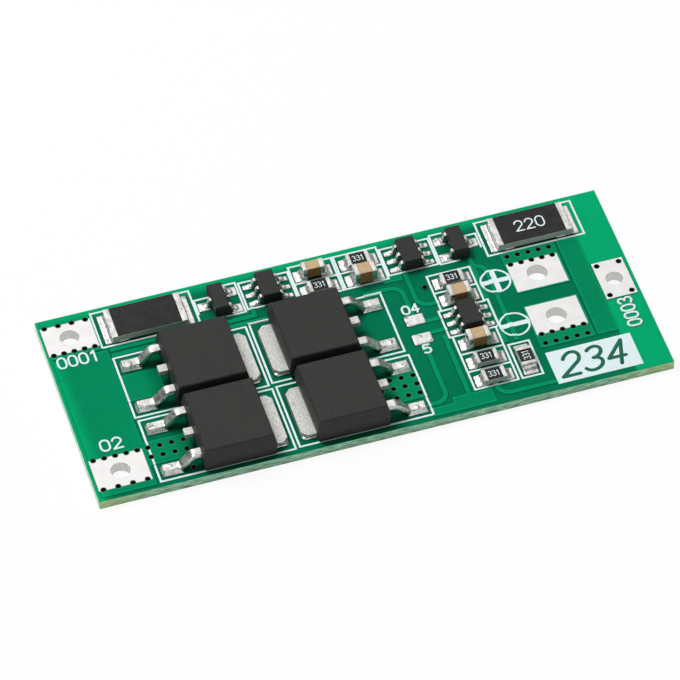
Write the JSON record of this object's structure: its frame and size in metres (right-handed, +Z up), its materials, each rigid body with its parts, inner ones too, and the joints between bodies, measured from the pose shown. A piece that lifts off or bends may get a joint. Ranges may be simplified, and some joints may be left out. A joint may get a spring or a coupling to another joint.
{
  "type": "battery management board",
  "caption": "Flat rectangular green circuit board with power transistors, balance resistors, control parts and tinned solder terminals with round wire holes.",
  "frame": {"origin": "middle of the board's underside", "axes": "+X along the board towards the output terminals, +Y across the board towards the row of small parts, +Z up from the underside through the parts"},
  "size_m": [0.048, 0.02, 0.0033],
  "materials": {
    "laminate": "glass-epoxy laminate, sawn edges",
    "copper": "copper foil under the mask, tinned at the vias",
    "solder_mask": "green solder mask, semi-gloss",
    "white_ink": "screen-printed white ink",
    "solder": "reflowed tin solder",
    "tinned_copper": "hot-air levelled tin over copper",
    "mould_compound": "dark grey epoxy moulding, fine matte texture",
    "plated_frame": "matte tin-plated copper frame",
    "white_ceramic": "alumina, unglazed",
    "resistor_coat": "black protective glaze",
    "end_cap_metal": "tin-plated end terminations",
    "tan_ceramic": "tan ceramic dielectric"
  },
  "bodies": {
    "root": {"pcb_laminate": "laminate", "copper_layers": "copper", "solder_mask_top": "solder_mask", "solder_mask_bottom": "solder_mask", "white_print": "white_ink", "solder_joints": "solder", "chip_resistor_coats": "resistor_coat", "pack_positive_terminal": "tinned_copper", "pack_negative_terminal": "tinned_copper", "output_positive_terminal": "tinned_copper", "output_negative_terminal": "tinned_copper", "cell_tap_terminal": "tinned_copper", "power_transistor_1_case": "mould_compound", "power_transistor_1_drain_tab": "plated_frame", "power_transistor_1_leads": "plated_frame", "power_transistor_2_case": "mould_compound", "power_transistor_2_drain_tab": "plated_frame", "power_transistor_2_leads": "plated_frame", "power_transistor_3_case": "mould_compound", "power_transistor_3_drain_tab": "plated_frame", "power_transistor_3_leads": "plated_frame", "power_transistor_4_case": "mould_compound", "power_transistor_4_drain_tab": "plated_frame", "power_transistor_4_leads": "plated_frame", "balance_resistor_1_ceramic": "white_ceramic", "balance_resistor_1_coat": "resistor_coat", "balance_resistor_1_end_caps": "end_cap_metal", "balance_resistor_2_ceramic": "white_ceramic", "balance_resistor_2_coat": "resistor_coat", "balance_resistor_2_end_caps": "end_cap_metal", "balance_switch_1_case": "mould_compound", "balance_switch_1_leads": "plated_frame", "balance_switch_2_case": "mould_compound", "balance_switch_2_leads": "plated_frame", "balance_ic_1_case": "mould_compound", "balance_ic_1_leads": "plated_frame", "balance_ic_2_case": "mould_compound", "balance_ic_2_leads": "plated_frame", "protection_ic_case": "mould_compound", "protection_ic_leads": "plated_frame", "capacitor_1_ceramic": "tan_ceramic", "capacitor_1_end_caps": "end_cap_metal", "capacitor_2_ceramic": "tan_ceramic", "capacitor_2_end_caps": "end_cap_metal", "capacitor_3_ceramic": "tan_ceramic", "capacitor_3_end_caps": "end_cap_metal", "capacitor_4_ceramic": "tan_ceramic", "capacitor_4_end_caps": "end_cap_metal", "chip_resistor_1_ceramic": "white_ceramic", "chip_resistor_1_end_caps": "end_cap_metal", "chip_resistor_2_ceramic": "white_ceramic", "chip_resistor_2_end_caps": "end_cap_metal", "chip_resistor_3_ceramic": "white_ceramic", "chip_resistor_3_end_caps": "end_cap_metal", "chip_resistor_4_ceramic": "white_ceramic", "chip_resistor_4_end_caps": "end_cap_metal", "chip_resistor_5_ceramic": "white_ceramic", "chip_resistor_5_end_caps": "end_cap_metal", "chip_resistor_6_ceramic": "white_ceramic", "chip_resistor_6_end_caps": "end_cap_metal"}
  },
  "joints": []
}
